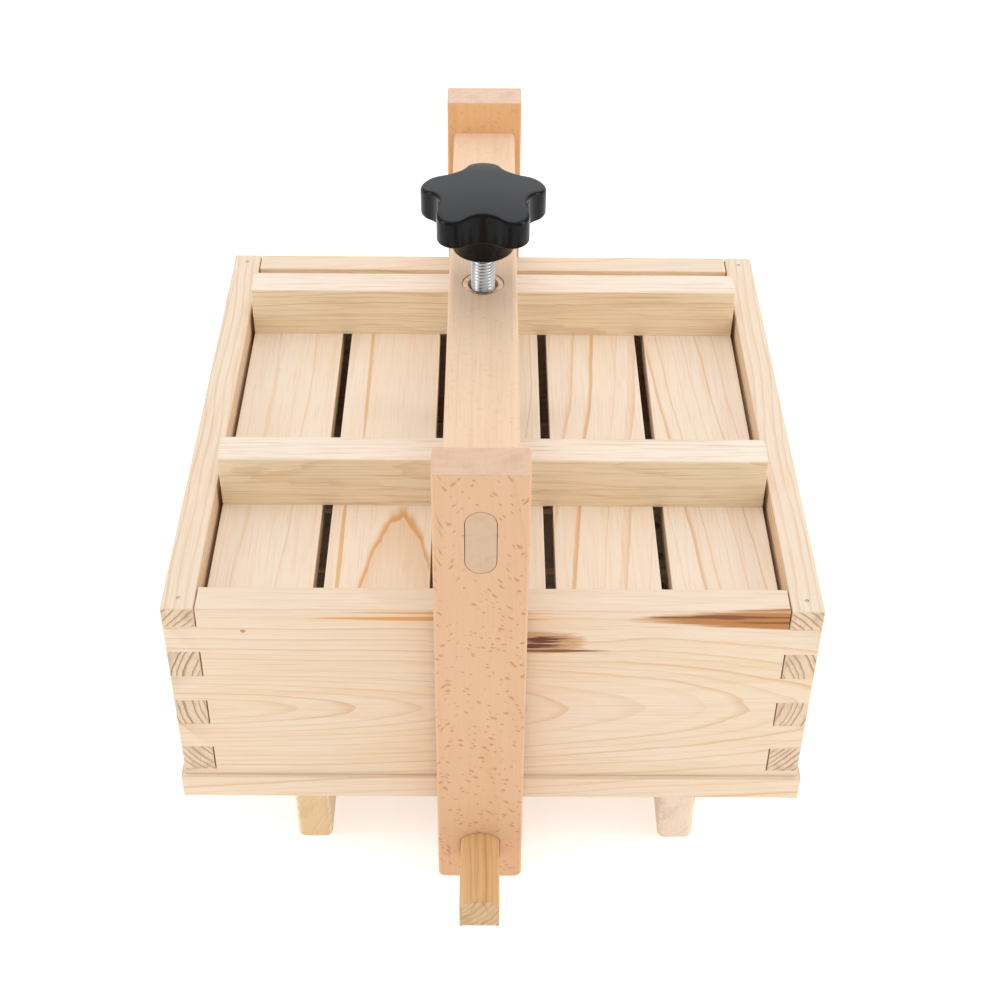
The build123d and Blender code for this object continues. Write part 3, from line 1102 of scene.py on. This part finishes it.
@dataclass
class Lid:
    """Five slats under two battens, screwed from below."""

    slats: int = 5
    screw_offset: float = 14.0
    turns: tuple[float, float] = (0.9, 0.5)
    battens: tuple[str, ...] = ("lid_batten_front", "lid_batten_rear")
    screws: WoodScrews = field(default_factory=WoodScrews)

    def boards(self) -> list[Board]:
        """Return the lid's boards."""
        orange = (0.72, 0.42, 0.16)
        streaks = (
            Mark((-12.5, 66, 6), (1.1, 90, 6.0), orange, 0.7, ragged=1.2),
            Mark((-18.5, -98, 6), (1.2, 46, 6.0), orange, 0.8, ragged=1.2),
        )
        cuts = [
            Cut(Grain.Y, (60, -50), (0.05, 0.03), 5, ring=13, contrast=0.9, tone=0.4, late_from=1.0),
            Cut(
                Grain.Y, (12, -33), (0.02, -0.12), 13, ring=34, contrast=1.15, sway=2, ripple=3.2, uneven=0.2,
                phase=-0.037, late_from=1.18, glow=0.4, tone=0.15, steady=1.0, marks=streaks,
            ),
            Cut(Grain.Y, (-42, -40), (0.06, -0.04), 29, ring=11, late_from=1.0),
            Cut(Grain.Y, (-54, -26), (0.08, 0.02), 37, ring=10, late_from=1.0),
            Cut(Grain.Y, (72, -30), (-0.07, 0.01), 43, ring=6.5, contrast=0.95, late_from=0.95),
        ]
        batten_cuts = [
            Cut(Grain.X, (-44, 9), (0.03, 0.05), 53, ring=2.6, ripple=2.4),
            Cut(Grain.X, (-30, -16), (-0.05, 0.06), 59, ring=2.8, ripple=2.4),
        ]
        boards = [Board(f"lid_slat_{i}", LID_PINE, cut, 0.5) for i, cut in enumerate(cuts, 1)]
        return boards + [Board(name, BATTEN_PINE, cut) for name, cut in zip(self.battens, batten_cuts)]

    def build(self, steel: Material) -> None:
        """Dress the boards and make the screws."""
        for board in self.boards():
            board.dress()
        places = []
        under = box_mm("lid_slat_1")[0].z + self.screws.sunk
        over = Matrix.Rotation(math.pi, 4, "X")
        for i in range(self.slats):
            low, high = box_mm(f"lid_slat_{i + 1}")
            for side in (-1, 1):
                x = (low.x + high.x) / 2 + side * self.screw_offset
                for batten in self.battens:
                    y = sum(corner.y for corner in box_mm(batten)) / 2
                    turn = self.turns[0] * i + self.turns[1] * side
                    places.append(self.screws.place(x, y, under, turn) @ over)
        piece = self.screws.group("lid_screws_cut", places, steel)
        finish_piece(piece, "lid", "screw_steel", "lid_screws")


@dataclass
class PressFrame:
    """Two beech uprights, the crossbar between them and its threaded insert."""

    bore: float = 6.05
    thread_depth: float = 0.75
    pitch: float = 1.75
    chamfer: float = 1.5
    flange_thickness: float = 1.5
    sleeve: float = 8.0
    edge: float = 0.4

    def boards(self) -> list[Board]:
        """Return the frame's boards."""
        return [
            Board("upright_front", BEECH, Cut(Grain.Z, (-9, 46), (0.0, 0.03), 71, ring=5.0), 0.5, 3.6),
            Board("upright_rear", RED_BEECH, Cut(Grain.Z, (16, -38), (0.01, 0.02), 83, ring=4.4), 0.5, 3.6),
            Board("crossbar", PALE_BEECH, Cut(Grain.Y, (30, -44), (0.01, 0), 97, ring=5.5, contrast=0.7), 0.7),
        ]

    def build(self, brass: Material) -> None:
        """Dress the boards and make the insert with its inner thread."""
        for board in self.boards():
            board.dress()
        low, high = box_mm("threaded_insert")
        centre = (low + high) / 2
        flange = (high.x - low.x) / 2
        shoulder = high.z - self.flange_thickness
        thread = Thread(self.bore, self.bore + self.thread_depth, self.pitch, columns=64)
        outside = arc_profile((flange - self.edge, high.z - self.edge), self.edge, 90, 0, 4)
        outside += [(flange, shoulder), (self.sleeve, shoulder), (self.sleeve, low.z + 0.5)]
        outside += [(self.sleeve - 0.5, low.z)]
        mouth = [(self.bore + self.chamfer * 0.9, high.z - 0.15), (self.bore + self.chamfer, high.z)]
        rows = rings_of(outside, centre, thread.columns)
        rows += thread.rows(low.z, high.z - self.chamfer, centre, lambda height: flange)
        rows += rings_of(mouth, centre, thread.columns)
        mesh = skin("insert_threaded", rows, closed=True)
        finish_piece(new_piece(mesh, brass), "press_frame", "insert_brass", "threaded_insert")


@dataclass
class LowerBar:
    """The loose softwood bar at the foot of the frame."""

    arris: float = 0.8

    def build(self) -> None:
        """Dress the bar."""
        cut = Cut(
            Grain.Y, (-25, 30), (0.03, 0.02), 101, ring=3.1, sway=7, ripple=3.0, late_from=0.5, steady=0.5
        )
        Board("lower_bar", BAR_WOOD, cut, self.arris).dress()


@dataclass
class Star:
    """The outline of a star knob: round lobes joined by tangent hollows, in millimetres."""

    radius: float = 31.0
    lobe_radius: float = 8.5
    hollow_radius_from_middle: float = 22.2
    lobes: int = 5

    def __post_init__(self) -> None:
        """Work out the centres of the lobes and hollows."""
        self.half_pitch = math.pi / self.lobes
        self.lobe_centre = self.radius - self.lobe_radius
        reach = self.lobe_centre * math.cos(self.half_pitch)
        depth = self.hollow_radius_from_middle
        span = self.lobe_centre**2 + depth**2 - 2 * reach * depth - self.lobe_radius**2
        self.hollow = span / (2 * (self.lobe_radius + reach - depth))
        self.hollow_centre = depth + self.hollow
        touch = self.lobe_radius / (self.lobe_radius + self.hollow)
        x = self.lobe_centre + (self.hollow_centre * math.cos(self.half_pitch) - self.lobe_centre) * touch
        y = self.hollow_centre * math.sin(self.half_pitch) * touch
        self.change_angle = math.atan2(y, x)

    def reach(self, angle: float) -> float:
        """Return the outline's radius at an angle from +X; one lobe points along +Y."""
        turn = (angle - math.pi / 2 + self.half_pitch) % (2 * self.half_pitch) - self.half_pitch
        turn = abs(turn)
        if turn < self.change_angle:
            drop = self.lobe_centre * math.sin(turn)
            return self.lobe_centre * math.cos(turn) + math.sqrt(self.lobe_radius**2 - drop**2)
        turn = self.half_pitch - turn
        drop = self.hollow_centre * math.sin(turn)
        return self.hollow_centre * math.cos(turn) - math.sqrt(self.hollow**2 - drop**2)


@dataclass
class Screw:
    """The threaded stud, the star knob moulded on it and the loose pad under its tip."""

    crest: float = 5.93
    root: float = 4.95
    pitch: float = 1.75
    pilot_radius: float = 4.0
    pilot_length: float = 4.5
    hub_bottom_radius: float = 15.0
    hub_top_radius: float = 17.0
    hub_height: float = 14.5
    edge: float = 1.9
    crown: float = 4.6
    crown_drop: float = 0.7
    star: Star = field(default_factory=Star)

    def build(self, zinc: Material, plastic: Material) -> None:
        """Make the stud, the knob and the pad."""
        self.build_stud(zinc)
        self.build_knob(plastic)
        self.build_pad(zinc)

    def build_stud(self, zinc: Material) -> None:
        """Make the stud with its thread, chamfered end and turned-down tip."""
        low, high = box_mm("screw_stud")
        centre = (low + high) / 2
        start = low.z + self.pilot_length
        thread = Thread(self.crest, self.root, self.pitch)

        def chamfer(height: float) -> float:
            """Return the largest radius at a height above the turned-down tip."""
            return min(self.crest, self.pilot_radius + 0.7 + height - start)

        tip = arc_profile((self.pilot_radius - 0.8, low.z + 0.8), 0.8, -90, 0, 4)
        rows = rings_of([*tip, (self.pilot_radius, start)], centre, thread.columns)
        rows += thread.rows(start, high.z, centre, chamfer)
        mesh = skin("stud_threaded", rows)
        finish_piece(new_piece(mesh, zinc, 50), "screw", "zinc_steel", "screw_stud")

    def build_knob(self, plastic: Material) -> None:
        """Make the knob: hub, star with rounded edges and a slightly domed top."""
        low, high = box_mm("knob")
        stud_low, stud_high = box_mm("screw_stud")
        centre = (stud_low + stud_high) / 2
        count = 240
        star_bottom = low.z + self.hub_height

        def crowned(inset: float, drop: float, scale: float = 1.0) -> list[Vector]:
            """Return the star's outline drawn in by inset and scaled, drop below the domed top."""
            return ring_of(
                lambda angle: (self.star.reach(angle) - inset) * scale,
                lambda reach: high.z - self.crown_drop - self.crown * (reach / self.star.radius) ** 2 - drop,
                centre,
                count,
            )

        hub = [(self.crest + 0.1, low.z + 0.6), (self.hub_bottom_radius - 3.0, low.z)]
        hub += arc_profile((self.hub_bottom_radius - 1.4, low.z + 1.4), 1.4, -90, -5, 5)
        hub += [(self.hub_top_radius - 0.8, star_bottom - 1.2), (self.hub_top_radius, star_bottom - 0.2)]
        hub += [(self.hub_top_radius + 1.0, star_bottom)]
        rows = rings_of(hub, centre, count)
        for depth, height in arc_profile((-self.edge, star_bottom + self.edge), self.edge, -90, 0, 7):
            rows.append(ring_of(lambda angle, out=depth: self.star.reach(angle) + out, height, centre, count))
        for depth, drop in arc_profile((-self.edge, -self.edge), self.edge, 0, 74, 8):
            rows.append(crowned(-depth, -drop))
        for scale in (0.97, 0.92, 0.84, 0.74, 0.62, 0.48, 0.32, 0.16, 0.05):
            rows.append(crowned(self.edge, 0.0, scale))
        mesh = skin("knob_moulded", rows)
        finish_piece(new_piece(mesh, plastic, 60), "screw", "black_plastic", "knob")

    def build_pad(self, zinc: Material) -> None:
        """Make the pad: a turned foot with a socket for the stud's tip."""
        low, high = box_mm("press_pad")
        rim = (high.x - low.x) / 2
        socket = self.pilot_radius + 0.1
        profile = [(0.5, low.z + 0.4), (rim - 4.0, low.z + 0.4), (rim - 3.0, low.z)]
        profile += arc_profile((rim - 0.8, low.z + 0.8), 0.8, -90, 0, 4)
        profile += arc_profile((rim - 0.8, low.z + 3.2), 0.8, 0, 80, 4)
        profile += [(10.5, low.z + 4.4), (9.3, low.z + 5.2), (9.0, high.z - 0.6), (8.4, high.z)]
        profile += [(socket + 0.5, high.z), (socket, high.z - 0.4)]
        profile += [(socket, high.z - self.pilot_length), (0.5, high.z - self.pilot_length)]
        mesh = skin("pad_turned", rings_of(profile, (low + high) / 2, 96))
        finish_piece(new_piece(mesh, zinc), "press_pad", "zinc_steel", "press_pad")


# ---------------------------------------------------------------------------------------------- studio


@dataclass(frozen=True)
class Softbox:
    """A square or oblong studio light."""

    name: str
    place: tuple[float, float, float]
    size: tuple[float, float]
    power: float

    def build(self, target: Vector) -> None:
        """Hang the light and turn it to a target."""
        data = bpy.data.lights.new(self.name, "AREA")
        data.shape = "RECTANGLE"
        data.size, data.size_y = self.size
        data.energy = self.power
        lamp = link_new(self.name, data)
        lamp.location = self.place
        lamp.rotation_euler = (target - Vector(self.place)).to_track_quat("-Z", "Y").to_euler()


@dataclass
class Studio:
    """A white floor, soft light and the camera."""

    camera_place: tuple[float, float, float] = (-0.00358, -0.71303, 0.69569)
    pitch: float = 39.80
    yaw: float = 0.64
    roll: float = 0.73
    lens: float = 61.89
    sensor: float = 36.0
    floor_half: float = 40.0
    world: float = 0.66
    floor_glow: float = 0.42
    floor_paint: tuple[Colour, Colour] = ((0.93, 0.93, 0.93), (0.95, 0.95, 0.95))
    floor_roughness: float = 0.9
    floor_specular: float = 0.1
    target: tuple[float, float, float] = (0.0, 0.0, 0.15)
    softboxes: tuple[Softbox, ...] = (
        Softbox("top_softbox", (0.0, 0.1, 1.6), (1.4, 1.4), 6.8),
        Softbox("rear_softbox", (0.0, 1.35, 1.25), (1.6, 0.9), 4.6),
        Softbox("front_softbox", (0.25, -1.7, 0.55), (1.8, 1.0), 0.9),
        Softbox("left_softbox", (-1.3, -0.35, 0.6), (0.5, 1.0), 4.0),
        Softbox("right_softbox", (1.3, -0.35, 0.6), (0.5, 1.0), 5.0),
    )

    def build(self) -> None:
        """Make the whole studio."""
        self.build_floor()
        self.build_lights()
        self.build_camera()

    def build_floor(self) -> None:
        """Lay the pale floor."""
        graph = Graph("floor_paint")
        mottle = graph.cloud(graph.place_mm(), (0.01, 0.01, 1.0), 3.0)
        paint = {
            "Base Color": graph.mix(mottle, *self.floor_paint),
            "Roughness": self.floor_roughness,
            "Specular IOR Level": self.floor_specular,
            "Emission Color": (1.0, 1.0, 1.0),
            "Emission Strength": self.floor_glow,
        }
        graph.fill(graph.shader, paint)
        half = self.floor_half
        mesh = bpy.data.meshes.new("floor")
        corners = [(-half, -half, 0), (half, -half, 0), (half, half, 0), (-half, half, 0)]
        mesh.from_pydata(corners, [], [(0, 1, 2, 3)])
        mesh.materials.append(graph.material)
        floor = link_new("floor", mesh)

    def build_lights(self) -> None:
        """Set the white surround and hang the softboxes."""
        world = bpy.data.worlds.new("white_surround")
        world.use_nodes = True
        surround = world.node_tree.nodes["Background"]
        surround.inputs["Color"].default_value = (1.0, 1.0, 1.0, 1.0)
        surround.inputs["Strength"].default_value = self.world
        bpy.context.scene.world = world
        for softbox in self.softboxes:
            softbox.build(Vector(self.target))

    def build_camera(self) -> None:
        """Place the camera, looking down at the press from the front."""
        pitch, yaw, roll = (math.radians(a) for a in (self.pitch, self.yaw, self.roll))
        forward = Vector((math.sin(yaw) * math.cos(pitch), math.cos(yaw) * math.cos(pitch), -math.sin(pitch)))
        level = Vector((math.cos(yaw), -math.sin(yaw), 0.0))
        upward = level.cross(forward)
        right = math.cos(roll) * level + math.sin(roll) * upward
        up = math.cos(roll) * upward - math.sin(roll) * level
        data = bpy.data.cameras.new("camera")
        data.lens = self.lens
        data.sensor_width = self.sensor
        camera = link_new("camera", data)
        turn = Matrix((right, up, -forward)).transposed().to_4x4()
        camera.matrix_world = Matrix.Translation(Vector(self.camera_place)) @ turn
        bpy.context.scene.camera = camera


def main() -> None:
    """Build the studio and every sub-assembly in order."""
    logging.basicConfig(level=logging.INFO, format="%(name)s %(message)s")
    bpy.context.scene.view_settings.view_transform = "Standard"
    Studio().build()
    zinc = ZINC.material("zinc_plate")
    steel = PLAIN_STEEL.material("plain_steel")
    brass = TARNISHED_BRASS.material("tarnished_brass")
    plastic = BLACK_PLASTIC.material("black_plastic")
    Base().build(steel)
    Mould().build(steel)
    Lid().build(steel)
    PressFrame().build(brass)
    LowerBar().build()
    Screw().build(zinc, plastic)


if __name__ == "__main__":
    main()
